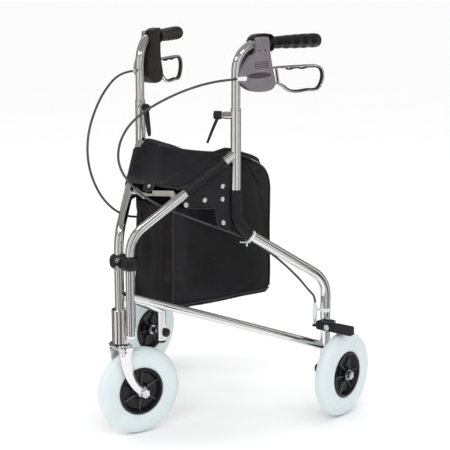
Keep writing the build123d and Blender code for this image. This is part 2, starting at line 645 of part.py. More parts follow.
# ---------------------------------------------------------------- assembly
def build():
    nodes = {}
    both = {
        "main_tube": main_tube(),
        "leg_cap": leg_cap(),
        "post_bush": post_bush(),
        "clamp_lever": clamp_lever(),
        "handle_tube": handle_tube(),
        "grip": grip(),
        "brake_housing": brake_housing(),
        "brake_lever": brake_lever(),
        "lever_pin": lever_pin(),
        "cable_adjuster": cable_adjuster(),
        "brake_arm": brake_arm(),
        "arm_bolt": arm_bolt(),
        "return_spring": return_spring(),
        "rear_tyre": place_rear(tyre()),
        "rear_rim": place_rear(rim()),
        "rear_bearings": place_rear(wheel_bearings()),
        "rear_axle": rear_axle(),
        "sleeve": sleeve(),
    }
    for name, shape in both.items():
        nodes["left_" + name] = shape
        nodes["right_" + name] = mirrored(shape)
    nodes["left_front_tube"] = front_tube(LEFT_POST_END_Z, 1)
    nodes["right_front_tube"] = mirrored(front_tube(POST_SEAT_Z, 0))
    nodes["left_lower_bar"] = lower_bar(LEFT_POST_END_Z)
    nodes["right_lower_bar"] = mirrored(lower_bar(POST_SEAT_Z))
    nodes["left_post_cap"] = end_cap(POST_X, 0, LEFT_POST_END_Z, FRONT_TUBE)
    nodes["left_cable"] = cable(LEFT_CABLE)
    nodes["right_cable"] = cable(RIGHT_CABLE)
    nodes["left_studs"] = studs()
    nodes["caster_housing"] = caster_housing()
    nodes["caster_bearings"] = caster_bearings()
    nodes["fork"] = fork()
    nodes["stem_nut"] = stem_nut()
    nodes["front_tyre"] = place_front(tyre())
    nodes["front_rim"] = place_front(rim())
    nodes["front_bearings"] = place_front(wheel_bearings())
    nodes["front_axle"] = front_axle()
    nodes["hinge_bracket"] = hinge_bracket()
    nodes["bracket_bolts"] = bracket_bolts()
    nodes["right_link"] = link(-1, 0)
    nodes["left_link"] = link(1, 1)
    nodes["apex_rivet"] = apex_rivet()
    nodes["bag_body"] = bag_body()
    nodes["bag_flap"] = bag_flap()
    return nodes


os.makedirs("parts", exist_ok=True)
for name, shape in build().items():
    export_step(Pos(0, -ORIGIN_Y, 0) * shape, f"parts/{name}.step")
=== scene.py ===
from functools import partial
from math import copysign, cos, exp, pi, radians, sin, sqrt, tan, tau

import bmesh
import bpy
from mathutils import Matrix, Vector, noise

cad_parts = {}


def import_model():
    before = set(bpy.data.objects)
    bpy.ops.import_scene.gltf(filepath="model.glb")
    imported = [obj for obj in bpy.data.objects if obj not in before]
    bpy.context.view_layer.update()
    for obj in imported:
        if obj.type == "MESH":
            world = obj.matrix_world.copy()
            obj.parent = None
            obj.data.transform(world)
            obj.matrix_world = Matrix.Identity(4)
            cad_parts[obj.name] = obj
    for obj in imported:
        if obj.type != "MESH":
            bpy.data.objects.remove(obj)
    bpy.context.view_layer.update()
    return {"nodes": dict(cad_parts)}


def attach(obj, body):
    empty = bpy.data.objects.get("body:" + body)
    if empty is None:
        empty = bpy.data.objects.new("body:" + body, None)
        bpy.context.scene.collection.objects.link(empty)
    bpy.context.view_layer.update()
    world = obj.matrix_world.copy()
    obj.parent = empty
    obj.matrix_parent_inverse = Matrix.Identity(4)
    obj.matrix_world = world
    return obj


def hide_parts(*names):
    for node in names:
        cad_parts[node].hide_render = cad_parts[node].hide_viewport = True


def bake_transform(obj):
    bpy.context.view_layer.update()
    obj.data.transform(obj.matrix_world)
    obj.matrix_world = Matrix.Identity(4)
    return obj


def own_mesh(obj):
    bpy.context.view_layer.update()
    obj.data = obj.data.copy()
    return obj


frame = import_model()

# Metres. Places are given in the walker's own design frame, whose Y starts at the front posts,
# and design() moves them into the CAD frame.
ORIGIN_Y = .218046
SIDES = {"left": 1, "right": -1}

WHEEL_RADIUS = .095
SPLAY = radians(29.5)
POST_X = .0155
HANDLE_U = .238
LEG_U = .456
MAIN_RADIUS = .011
MAIN_CORNER_Z = .442
LEG_CORNER_Z = .304
DIAGONAL_CORNER_Z = .437
DIAGONAL_RISE = .69
BEND_RADIUS = .065
TRAIL = .042
CASTER_HEADING = radians(21)
GRIP_SPLAY = radians(16.8)
GRIP_Z = .827
CLAMP_Z = .68
CLAMP_TURN = radians(30)
ARM_TIP = (.2235, .38)
WHEEL_OUT = .0465
CABLE_RADIUS = .0025
CABLE_Z = .757
DIAGONAL_WRAP = (.124, .212)
WRAP_TOP_Z = .522
WRAP_END_U = .27
STUDS = ((.125, .498), (.167, .505), (.208, .504), (.208, .532), (.21, .453))
TIE_U = .275
LUG_U = .105
BRACKET_Z = .384
ARM_LOW, ARM_HIGH = .193, .213
CLIP_Z = .235
BAG_FRONT, BAG_REAR = (.052, .0965), (.1185, .36)
BAG_BOTTOM, BAG_SHOULDER, BAG_TOP = .2655, .5, .586

ALONG = (sin(SPLAY), cos(SPLAY))
GRIP_WAY = (sin(GRIP_SPLAY), cos(GRIP_SPLAY))
LEG_X = POST_X + LEG_U * ALONG[0]
LEG_Y = LEG_U * ALONG[1]
HANDLE_X = POST_X + HANDLE_U * ALONG[0]
HANDLE_Y = HANDLE_U * ALONG[1]

# The cables' routes, the same points as the CAD tubes follow. Both end alike, along the sloping tube and the leg.
CABLE_STARTS = {
    "left": [
        (.1438, .1947, CABLE_Z), (.134, .162, .757), (.11, .123, .75), (.087, .082, .737), (.068, .041, .72),
        (.05, .006, .7), (.036, -.02, .676), (.026, -.034, .648), (.019, -.036, .618), (.013, -.025, .59),
        (.01, -.003, .562), (.014, .022, .536), (.027, .049, .511), (.043, .081, .491), (.062, .115, .474),
        (.082, .15, .456), (.104, .19, .437), (.124, .225, .42), (.143, .256, .402),
    ],
    "right": [
        (-.1438, .1947, CABLE_Z), (-.1345, .163, .758), (-.125, .12, .751), (-.114, .08, .733),
        (-.104, .046, .711), (-.094, .017, .686), (-.086, -.005, .66), (-.079, -.02, .632),
        (-.074, -.026, .602), (-.07, -.024, .572), (-.067, -.013, .542), (-.064, .001, .517),
        (-.062, .022, .494), (-.063, .05, .475), (-.069, .084, .46), (-.079, .122, .45),
        (-.095, .16, .443), (-.112, .196, .434), (-.128, .228, .42), (-.144, .257, .401),
    ],
}
CABLE_END = [(.163, .288, .376), (.184, .319, .344), (.203, .348, .309), (.216, .368, .279), (.2232, .3795, .266),
             (.2235, .38, .2504)]


def design(x, y, z):
    return Vector((x, y - ORIGIN_Y, z))


def side_point(side, u, z, outward=0):
    """A point of a side frame: u along it from the front post, and outward from its plane."""
    x = POST_X + u * ALONG[0] + outward * ALONG[1]
    return design(side * x, u * ALONG[1] - outward * ALONG[0], z)


def grip_point(side, s, z, outward=0):
    """A point by a handle: s along the grip from the post, and outward from the grip's plane."""
    x = HANDLE_X + s * GRIP_WAY[0] + outward * GRIP_WAY[1]
    return design(side * x, HANDLE_Y + s * GRIP_WAY[1] - outward * GRIP_WAY[0], z)


def grip_normal(side):
    return Vector((side * GRIP_WAY[1], -GRIP_WAY[0], 0))


def clamp_point(side, reach, z=CLAMP_Z):
    x = HANDLE_X - reach * cos(CLAMP_TURN)
    return design(side * x, HANDLE_Y - reach * sin(CLAMP_TURN), z)


def caster_point(along, across, z):
    """A point by the caster wheel, from its swivel's axis."""
    turn = pi / 2 - CASTER_HEADING
    x = along * cos(turn) - across * sin(turn)
    return design(x - POST_X, along * sin(turn) + across * cos(turn), z)


# ---------------------------------------------------------------- materials
def fill(node, **values):
    """Sets a node's inputs. An underscore stands for a space in an input's name."""
    for name, value in values.items():
        node.inputs[name.replace("_", " ")].default_value = value


def material(name, colour, roughness, metallic=0, vary=.06, patch=25.0, spread=.06,
             grain=0, grain_size=.001, cells=False, coat=0, shine=.5):
    """A surface whose colour and roughness drift in patches, with a fine relief."""
    made = bpy.data.materials.new(name)
    made.use_nodes = True
    nodes, links = made.node_tree.nodes, made.node_tree.links
    shader = nodes["Principled BSDF"]
    fill(shader, Metallic=metallic, Specular_IOR_Level=shine, Coat_Weight=coat, Coat_Roughness=.12)
    place = nodes.new("ShaderNodeTexCoord")
    patches = nodes.new("ShaderNodeTexNoise")
    fill(patches, Scale=patch, Detail=5)
    links.new(place.outputs["Object"], patches.inputs["Vector"])
    tint = nodes.new("ShaderNodeValToRGB")
    for element, position, share in zip(tint.color_ramp.elements, (.3, .7), (1 - vary, 1 + vary)):
        element.position = position
        element.color = (*[min(1, c * share) for c in colour], 1)
    links.new(patches.outputs["Fac"], tint.inputs["Fac"])
    links.new(tint.outputs["Color"], shader.inputs["Base Color"])
    gloss = nodes.new("ShaderNodeMapRange")
    fill(gloss, From_Min=.3, From_Max=.7, To_Min=max(.02, roughness - spread), To_Max=roughness + spread)
    links.new(patches.outputs["Fac"], gloss.inputs["Value"])
    links.new(gloss.outputs["Result"], shader.inputs["Roughness"])
    if grain:
        relief = nodes.new("ShaderNodeTexVoronoi" if cells else "ShaderNodeTexNoise")
        fill(relief, Scale=1 / grain_size)
        links.new(place.outputs["Object"], relief.inputs["Vector"])
        bump = nodes.new("ShaderNodeBump")
        fill(bump, Strength=grain, Distance=grain_size * .3)
        links.new(relief.outputs["Distance" if cells else "Fac"], bump.inputs["Height"])
        links.new(bump.outputs["Normal"], shader.inputs["Normal"])
    return made


# Name, colour, roughness, metal, drift of the colour, patches to a metre, drift of the roughness, strength and size
# of the relief.
CHROME = material("chrome_plate", (.78, .77, .77), .045, 1.0, .03, 12, .02, .05, .012)
STEEL = material("zinc_steel", (.66, .67, .69), .25, 1.0, .12, 90, .08, .15, .002)
LINK_STEEL = material("satin_link_steel", (.46, .46, .42), .42, .6, .12, 60, .08, .15, .0015)
BLACK = material("black_moulding", (.01, .01, .011), .36, 0, .15, 60, .08, .2, .0009, shine=.28)
GREY = material("grey_moulding", (.175, .152, .17), .42, 0, .07, 50, .07, .22, .0008)
DARK_GREY = material("dark_grey_moulding", (.055, .045, .052), .45, 0, .1, 60, .07, .2, .0008)
GRIP = material("grip_vinyl", (.006, .006, .007), .17, 0, .1, 40, .05, .06, .004, coat=.15, shine=.35)
TYRE = material("pale_polyurethane", (.66, .735, .75), .42, 0, .03, 22, .08, .12, .003)
RIM = material("rim_moulding", (.006, .006, .007), .3, 0, .15, 50, .08, .1, .0012, shine=.3)
VINYL = material("black_vinyl", (.0075, .0068, .0082), .33, 0, .25, 12, .07, .35, .0012, cells=True, shine=.3)
PIPING = material("vinyl_piping", (.022, .021, .024), .32, 0, .15, 40, .06, .2, .001, cells=True)
CABLE = material("cable_sleeve", (.05, .05, .054), .3, 0, .12, 60, .08, .08, .002)
WHITE = material("natural_nylon", (.74, .75, .76), .38, 0, .04, 60, .08, .1, .001)
# Painted highlight: the ribs are the rim's own black moulding, given a lighter grey so that they show as light lines.
RIB_PAINTED_HIGHLIGHT = material("rim_rib", (.1, .1, .1), .35, 0, .15, 60, .08, .1, .0012)
SHOE = material("gritty_rubber", (.016, .016, .017), .75, 0, .4, 300, .12, .9, .0016, cells=True, shine=.3)


def dress(surface, *nodes):
    """Gives CAD nodes a better surface."""
    for name in nodes:
        slots = frame["nodes"][name].data.materials
        slots.clear()
        slots.append(surface)


# ---------------------------------------------------------------- mesh helpers
def between(value, marks):
    """A value read off straight runs between marks."""
    if value <= marks[0][0]:
        return marks[0][1]
    for (a, va), (b, vb) in zip(marks, marks[1:]):
        if value <= b:
            return va + (vb - va) * (value - a) / (b - a)
    return marks[-1][1]


def bell(value, centre, width):
    """A smooth bump, 1 at its centre."""
    return exp(-((value - centre) / width) ** 2)


def turns(count):
    """Evenly spread angles of a full turn."""
    return [tau * i / count for i in range(count)]


def mesh_of(name, points, faces):
    mesh = bpy.data.meshes.new(name)
    mesh.from_pydata([tuple(p) for p in points], [], faces)
    return mesh


def shape_of(mesh):
    """A mesh's points and faces."""
    return [v.co.copy() for v in mesh.vertices], [tuple(p.vertices) for p in mesh.polygons]


def linked(name, data):
    """A new object in the scene."""
    made = bpy.data.objects.new(name, data)
    bpy.context.scene.collection.objects.link(made)
    return made


def evaluated(made):
    """An object's mesh with its modifiers."""
    return bpy.data.meshes.new_from_object(made.evaluated_get(bpy.context.evaluated_depsgraph_get()))


def piece(name, points, faces, body, surface, replaces=(), sharp=40, slot=None):
    """A shown mesh that rides on a CAD body."""
    mesh = mesh_of(name, points, faces)
    work = bmesh.new()
    work.from_mesh(mesh)
    bmesh.ops.recalc_face_normals(work, faces=work.faces)
    work.to_mesh(mesh)
    work.free()
    return dressed(name, mesh, body, surface, replaces, sharp)


def dressed(name, mesh, body, surface, replaces=(), sharp=40):
    mesh.shade_smooth()
    mesh.set_sharp_from_angle(angle=radians(sharp))
    mesh.materials.append(surface)
    made = linked(name, mesh)
    if body:
        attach(made, body)
    if replaces:
        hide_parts(*replaces)
    return made


def ring_faces(rows, columns, closed_rows=False):
    """Quads between rings of points, each ring closed."""
    faces = []
    for row in range(rows if closed_rows else rows - 1):
        here, there = row * columns, (row + 1) % rows * columns
        for column in range(columns):
            after = (column + 1) % columns
            faces.append((here + column, here + after, there + after, there + column))
    return faces


def capped(rings):
    """Points and faces of a run of rings, with both ends closed."""
    columns = len(rings[0])
    points = [p for ring in rings for p in ring]
    ends = [tuple(range(columns)), tuple(range(len(points) - columns, len(points)))]
    return points, ring_faces(len(rings), columns) + ends


def circle(radius, count=20):
    return [(radius * cos(t), radius * sin(t)) for t in turns(count)]


def rounded_box(width, height, radius, steps=4):
    """A rectangle with round corners, as offsets from its middle."""
    points = []
    for corner, (a, b) in enumerate(((1, 1), (-1, 1), (-1, -1), (1, -1))):
        centre = (a * (width / 2 - radius), b * (height / 2 - radius))
        for step in range(steps + 1):
            turn = pi / 2 * (corner + step / steps)
            points.append((centre[0] + radius * cos(turn), centre[1] + radius * sin(turn)))
    return points


def smooth_line(points, per=6, closed=False):
    """A line that bends softly through every point."""
    points = [Vector(p) for p in points]
    count, line = len(points), []
    for i in range(count if closed else count - 1):
        if closed:
            a, b, c, d = (points[(i + k) % count] for k in (-1, 0, 1, 2))
        else:
            a, b, c, d = (points[min(max(i + k, 0), count - 1)] for k in (-1, 0, 1, 2))
        for step in range(per):
            t = step / per
            line.append(.5 * (2 * b + (c - a) * t + (2 * a - 5 * b + 4 * c - d) * t * t
                               + (3 * b - a - 3 * c + d) * t ** 3))
    if not closed:
        line.append(points[-1])
    return line


def flat_line(points, per=5, closed=True):
    return [(p.x, p.y) for p in smooth_line([(a, b, 0) for a, b in points], per, closed)]


def sweep(points, section, closed=False, normal=None):
    """Points and faces of a section carried along a line. section is a list, or a function of the share."""
    count, rings = len(points), []
    tangents = []
    for i in range(count):
        before = points[i - 1] if closed or i else points[i]
        after = points[(i + 1) % count] if closed or i < count - 1 else points[i]
        tangents.append((after - before).normalized())
    side = tangents[0].orthogonal().normalized()
    for i, (point, tangent) in enumerate(zip(points, tangents)):
        side = normal.cross(tangent) if normal is not None else side - tangent * side.dot(tangent)
        side.normalize()
        up = tangent.cross(side)
        offsets = section(i / max(1, count - 1)) if callable(section) else section
        rings.append([point + side * a + up * b for a, b in offsets])
    points, faces = capped(rings)
    return points, ring_faces(count, len(rings[0]), True) if closed else faces


def hollow(points, outer, inner):
    """Points and faces of a tube wall carried along a line, open at both ends."""
    wall, faces = sweep(points, outer)
    lining, inside = sweep(points, inner)
    start, columns = len(wall), len(wall) // len(points)
    faces = faces[:-2] + [tuple(i + start for i in reversed(face)) for face in inside[:-2]]
    for row in (0, (len(points) - 1) * columns):
        for i in range(columns):
            a, b = row + i, row + (i + 1) % columns
            faces.append((a, b, b + start, a + start) if row else (b, a, a + start, b + start))
    return wall + lining, faces


def lathe(profile, origin, axis, count=72):
    """Points and faces of a closed profile of (radius, along) turned about an axis."""
    axis = Vector(axis).normalized()
    a = axis.orthogonal().normalized()
    b = axis.cross(a)
    points = []
    for turn in turns(count):
        out = a * cos(turn) + b * sin(turn)
        points += [origin + out * max(r, 1e-5) + axis * along for r, along in profile]
    return points, ring_faces(count, len(profile), True)


def merged(*shapes):
    """Several (points, faces) as one."""
    points, faces = [], []
    for more_points, more_faces in shapes:
        start = len(points)
        points += list(more_points)
        faces += [tuple(i + start for i in face) for face in more_faces]
    return points, faces


def slab(outline, place, low, high, bevel, segments=3):
    """A flat outline given a thickness and round edges, as a mesh. place turns (a, b, height) into a point."""
    work = bmesh.new()
    bottom = [work.verts.new(place(a, b, low)) for a, b in outline]
    top = [work.verts.new(place(a, b, high)) for a, b in outline]
    work.faces.new(bottom)
    work.faces.new(top)
    count = len(outline)
    for i in range(count):
        after = (i + 1) % count
        work.faces.new((bottom[i], bottom[after], top[after], top[i]))
    bmesh.ops.recalc_face_normals(work, faces=work.faces)
    if bevel:
        flat = [e for e in work.edges if len({v in top for v in e.verts}) == 1]
        bmesh.ops.bevel(work, geom=flat, offset=bevel, segments=segments, affect="EDGES", profile=.6,
                        clamp_overlap=True)
    mesh = bpy.data.meshes.new("slab")
    work.to_mesh(mesh)
    work.free()
    return mesh


def cut(target, mesh):
    """Takes a mesh's solid out of a piece."""
    cutter = linked("cutter", mesh)
    cutter.hide_render = True
    carve = target.modifiers.new("cut", "BOOLEAN")
    carve.operation, carve.solver, carve.object = "DIFFERENCE", "EXACT", cutter
    applied(target)
    bpy.data.objects.remove(cutter)


def applied(made):
    """Takes a piece's modifiers into its mesh."""
    shaped = evaluated(made)
    made.modifiers.clear()
    made.data = shaped


def finer(made):
    """One subdivision of a soft piece, applied with its other modifiers."""
    smooth = made.modifiers.new("finer", "SUBSURF")
    smooth.levels = smooth.render_levels = 1
    applied(made)
    made.data.shade_smooth()


# ---------------------------------------------------------------- camera, floor and light
def camera():
    eye = linked("camera", bpy.data.cameras.new("camera"))
    eye.location = (1.7881, -2.1976, 1.0382)
    eye.rotation_euler = (radians(90 - 12.2), 0, radians(37.6))
    eye.data.lens = 105.4
    bpy.context.scene.camera = eye


def lamp(name, place, size, power, target=(0, 0, .45)):
    light = linked(name, bpy.data.lights.new(name, "AREA"))
    light.data.shape = "RECTANGLE"
    light.data.size, light.data.size_y = size
    light.data.energy = power
    light.location = place
    light.rotation_euler = (Vector(target) - Vector(place)).to_track_quat("-Z", "Y").to_euler()


def floor():
    ground = linked("floor", mesh_of("floor", [(-30, -30, 0), (30, -30, 0), (30, 30, 0), (-30, 30, 0)], [(0, 1, 2, 3)]))
    ground.data.materials.append(material("floor_paint", (.97, .97, .97), .7, 0, .006, 1.5, .03))


def world():
    made = bpy.data.worlds.new("studio")
    bpy.context.scene.world = made
    made.use_nodes = True
    fill(made.node_tree.nodes["Background"], Color=(1, 1, 1, 1), Strength=1)


def reflection_card(name, turn, width, low, high, glow, tint, distance):
    """An upright card that only polished surfaces see, glowing by some amount."""
    a, half = radians(turn), radians(width / 2)
    spots = [(distance * sin(a + k * half), -distance * cos(a + k * half)) for k in (-1, 1)]
    corners = [(*spots[0], low), (*spots[1], low), (*spots[1], high), (*spots[0], high)]
    glowing_card(name, corners, glow, tint)


def glowing_card(name, corners, glow, tint):
    card = linked(name, mesh_of(name, corners, [(0, 1, 2, 3)]))
    made = bpy.data.materials.new(name)
    made.use_nodes = True
    fill(made.node_tree.nodes["Principled BSDF"], Base_Color=(.005, .005, .005, 1), Roughness=1,
         Emission_Color=(*tint, 1), Emission_Strength=glow)
    card.data.materials.append(made)
    for ray in ("visible_camera", "visible_diffuse", "visible_shadow", "visible_transmission"):
        setattr(card, ray, False)


# Cards round the walker: where each one ends, in degrees on from the camera's own heading, and its glow.
CARDS = ((12, .22), (26, 1.15), (33, .02), (60, .8), (78, .1), (104, .7), (124, .05), (150, .38), (170, .02),
         (190, .22), (212, .02), (236, .36), (256, .04), (278, .55), (292, .05), (316, 1.15), (327, .02), (345, .85),
         (360, .22))


def ceiling_card(name, place, size, turn, glow):
    a = radians(turn)
    along = Vector((cos(a), sin(a), 0)) * size[0] / 2
    across = Vector((-sin(a), cos(a), 0)) * size[1] / 2
    middle = Vector(place)
    corners = [middle - along - across, middle + along - across, middle + along + across, middle - along + across]
    glowing_card(name, corners, glow, (.99, .99, 1))


CARD_TURN = 39
WARM, COOL = (1, .9, .84), (.97, .99, 1)


def studio():
    camera()
    floor()
    world()
    bpy.context.scene.view_settings.view_transform = "Standard"
    lamp("key", (1.0, -1.9, 2.3), (1.5, .5), 13, (0, 0, .6))
    lamp("fill", (-1.9, -1.3, 1.9), (1.0, 1.2), 10)
    lamp("top", (.1, .4, 2.7), (1.6, 1.6), 12)
    for ring, (distance, low, high) in enumerate(((1.3, -.02, 1.35), (.62, 0, .27))):
        last = 0
        for i, (turn, glow) in enumerate(CARDS):
            tint = WARM if glow < .6 else COOL
            if ring:
                glow = glow * .75
            reflection_card(f"card_{ring}_{i}", (last + turn) / 2 + CARD_TURN, turn - last + .3, low, high, glow,
                            tint, distance)
            last = turn
    ceiling_card("ceiling", (0, 0, 1.37), (2.6, 2.6), 0, .3)
    ceiling_card("grip_light", (.59, -.355, 1.33), (.24, .12), 39, 12)
    ceiling_card("cover_light", (-.15, -.75, 1.33), (.7, .35), -10, 2.2)
    ceiling_card("rear_light", (-.5, .5, 1.33), (.8, .3), 30, 1.6)


# ---------------------------------------------------------------- cables
def cable_line(name, side):
    """The smooth line of a cable: a NURBS spline whose control points are its route."""
    route = CABLE_STARTS[name] + [(side * x, y, z) for x, y, z in CABLE_END]
    curve = bpy.data.curves.new("route", "CURVE")
    curve.dimensions = "3D"
    spline = curve.splines.new("NURBS")
    spline.points.add(len(route) - 1)
    for control, place in zip(spline.points, route):
        control.co = (*design(*place), 1)
    spline.order_u = 3
    spline.use_endpoint_u = True
    spline.resolution_u = 8
    holder = linked("route", curve)
    bpy.context.view_layer.update()
    line = [v.co.copy() for v in evaluated(holder).vertices]
    bpy.data.objects.remove(holder)
    return line


def cables():
    for name, side in SIDES.items():
        line = cable_line(name, side)
        points, faces = sweep(line, circle(CABLE_RADIUS, 14))
        tube = piece(f"{name}_brake_cable", points, faces, None, CABLE, [f"{name}_cable"])
        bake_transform(tube)


# ---------------------------------------------------------------- wheels
def tyre_profile():
    half = [(.052, .013), (.0545, .015), (.058, .0162), (.066, .017), (.075, .017), (.0815, .016), (.0855, .0146),
            (.0865, .0137), (.0885, .013), (.0915, .0108), (.0937, .007), (.0948, .003)]
    outer = flat_line(half, 3, False)
    return outer + [(r, -a) for r, a in reversed(outer)]


def rim_profile():
    """Lip, dished disc and hub of one wheel, from the axle out and back."""
    front = [(.011, .0178), (.0145, .0178), (.0155, .0168), (.0165, .0075), (.02, .0045), (.04, .006), (.044, .012),
             (.0455, .015), (.0475, .0158), (.0505, .015), (.052, .013)]
    return front + [(r, -a) for r, a in reversed(front)]


def rib(centre, axis, turn, side):
    """A thin spoke that stands up from the rim's disc."""
    a = axis.orthogonal().normalized()
    way = a * cos(turn) + axis.cross(a) * sin(turn)
    across = axis.cross(way)
    points = []
    for reach, height in ((.015, .015), (.025, .0112), (.036, .0098), (.045, .012)):
        for edge, along in ((-.0009, .003), (-.0005, height), (.0005, height), (.0009, .003)):
            points.append(centre + way * reach + across * edge + axis * side * along)
    faces = ring_faces(4, 4) + [(0, 1, 2, 3), (12, 13, 14, 15)]
    return points, faces


def wheel(prefix, body, centre, axis):
    axis = Vector(axis).normalized()
    piece(f"{prefix}_tread", *lathe(tyre_profile(), centre, axis, 120), body, TYRE, [f"{prefix}_tyre"])
    ribs = [rib(centre, axis, tau * (k + .3) / 6, side) for k in range(6) for side in (-1, 1)]
    piece(f"{prefix}_wheel", *lathe(rim_profile(), centre, axis, 96), body, RIM, [f"{prefix}_rim"], 30)
    # The ribs take the lighter grey of painted highlight, not the rim's black.
    piece(f"{prefix}_rim_ribs", *merged(*ribs), body, RIB_PAINTED_HIGHLIGHT, sharp=30)


def wheels():
    for name, side in SIDES.items():
        centre = design(side * (LEG_X + WHEEL_OUT), LEG_Y, WHEEL_RADIUS)
        wheel(f"{name}_rear", f"{name}_wheel", centre, (1, 0, 0))
    across = caster_point(0, 1, 0) - caster_point(0, 0, 0)
    wheel("front", "front_wheel", caster_point(TRAIL, 0, WHEEL_RADIUS), across)


def axle_knobs():
    """Black domed caps over the rear axles' inner nuts."""
    for name, side in SIDES.items():
        start = design(side * (LEG_X - .013), LEG_Y, WHEEL_RADIUS)
        way = design(0, 0, 0) - design(side, 0, 0)
        cap = [(.01, 0), (.0108, .0002), (.011, .002), (.0106, .0052), (.009, .0078), (.005, .009), (0, .0093),
               (0, .0083), (.005, .008), (.0085, .0068), (.01, .0048)]
        piece(f"{name}_axle_cap", *lathe(cap, start, way, 36), f"{name}_frame", BLACK)


def front_fork():
    """Pressed fork: a round-cornered crown, and two curved legs with a raised middle."""
    line = smooth_line(
        [(.001, 0, .2), (.0005, 0, .178), (.004, 0, .155), (.013, 0, .13), (.026, 0, .11), (.042, 0, .095)], 6)
    shapes = []
    for side in (-1, 1):
        rings = []
        for i, p in enumerate(line):
            t = i / (len(line) - 1)
            ahead = line[min(i + 1, len(line) - 1)] - line[max(i - 1, 0)]
            across = Vector((ahead.z, 0, -ahead.x)).normalized()
            half = .0135 - .005 * t + .004 * max(0, .2 - t) / .2
            ring = []
            for turn in turns(16):
                c, s = cos(turn), sin(turn)
                wide = half * copysign(abs(c) ** .7, c)
                deep = .0022 * copysign(abs(s) ** .5, s)
                if s > .3:
                    deep += .0016 * bell(wide, 0, half * .45)
                q = p + across * wide
                ring.append(caster_point(q.x, side * (.025 + deep), q.z))
            rings.append(ring)
        shapes.append(capped(rings))
        eye = caster_point(TRAIL, side * .0222, WHEEL_RADIUS)
        way = caster_point(TRAIL, side * .03, WHEEL_RADIUS) - eye
        shapes.append(lathe([
            (.0052, 0), (.0088, 0), (.0095, .001), (.0095, .0043), (.0088, .0051), (.0052, .0051)], eye, way, 40))
    crown = slab(rounded_box(.035, .054, .01, 6), lambda a, b, h: caster_point(a + .001, b, h), .196, .205, .003)
    shapes.append(shape_of(crown))
    stem = caster_point(0, 0, .2045)
    shapes.append(lathe([(0, 0), (.008, 0), (.008, .0031), (.006, .0032), (.006, .053), (0, .0545)],
                        stem, (0, 0, 1), 32))
    piece("caster_fork", *merged(*shapes), "caster", CHROME, ["fork"], 35)


# ---------------------------------------------------------------- handles
def grip_radius(s, turn):
    """The grip's radius: a collar, a thin neck, a swelling palm and finger waves on its lower half."""
    marks = [(.086, .0172), (.0875, .0184), (.0895, .018), (.0915, .015), (.097, .0124), (.106, .0126), (.118, .0136),
             (.14, .0143), (.165, .015), (.19, .0152), (.208, .015), (.216, .014), (.2195, .0118), (.221, .0085)]
    low = max(0, .35 - sin(turn)) / 1.35
    waves = .5 - .5 * cos(tau * (s - .108) / .0235)
    inside = 1.0 if .108 < s < .202 else 0.0
    ribs = .00025 * cos(tau * s / .0045) * inside * (1 - low)
    return between(s, marks) + .0004 - (.0006 + .0007 * low) * waves * inside + ribs * .3


def grip(name, side):
    marks = [.086, .0868, .0875, .0885, .0895, .0905, .0915]
    marks += [.093 + .0011 * i for i in range(110)] + [.215, .2165, .218, .2195, .2205, .221]
    out, up, rings = grip_normal(side), Vector((0, 0, 1)), []
    for s in marks:
        centre, ring = grip_point(side, s, GRIP_Z), []
        for turn in turns(40):
            r = grip_radius(s, turn)
            ring.append(centre + out * (r * cos(turn)) + up * (r * sin(turn)))
        rings.append(ring)
    piece(f"{name}_hand_grip", *capped(rings), f"{name}_handle", GRIP, [f"{name}_grip"])


HOUSING_OUTLINE = [
    (.0425, .812), (.044, .83), (.0445, .8385), (.05, .8408), (.0715, .8408), (.0745, .8385), (.0765, .826),
    (.08, .802), (.085, .778), (.0925, .752), (.094, .743), (.09, .7345), (.08, .7285), (.06, .7265), (.04, .728),
    (.022, .737), (.003, .751), (-.001, .759), (.001, .768), (.012, .785), (.029, .803), (.037, .806)]
BACK_OUTLINE = [
    (.034, .808), (.0345, .822), (.0385, .835), (.047, .8435), (.06, .8462), (.079, .8462), (.0835, .843),
    (.083, .812), (.083, .79), (.089, .765), (.096, .744), (.093, .735), (.083, .7275), (.066, .7255), (.046, .7265),
    (.027, .735), (.0145, .7485), (.0135, .765), (.02, .78)]


def ellipse(centre, radii, count=36):
    return [(centre[0] + radii[0] * cos(t), centre[1] + radii[1] * sin(t)) for t in turns(count)]


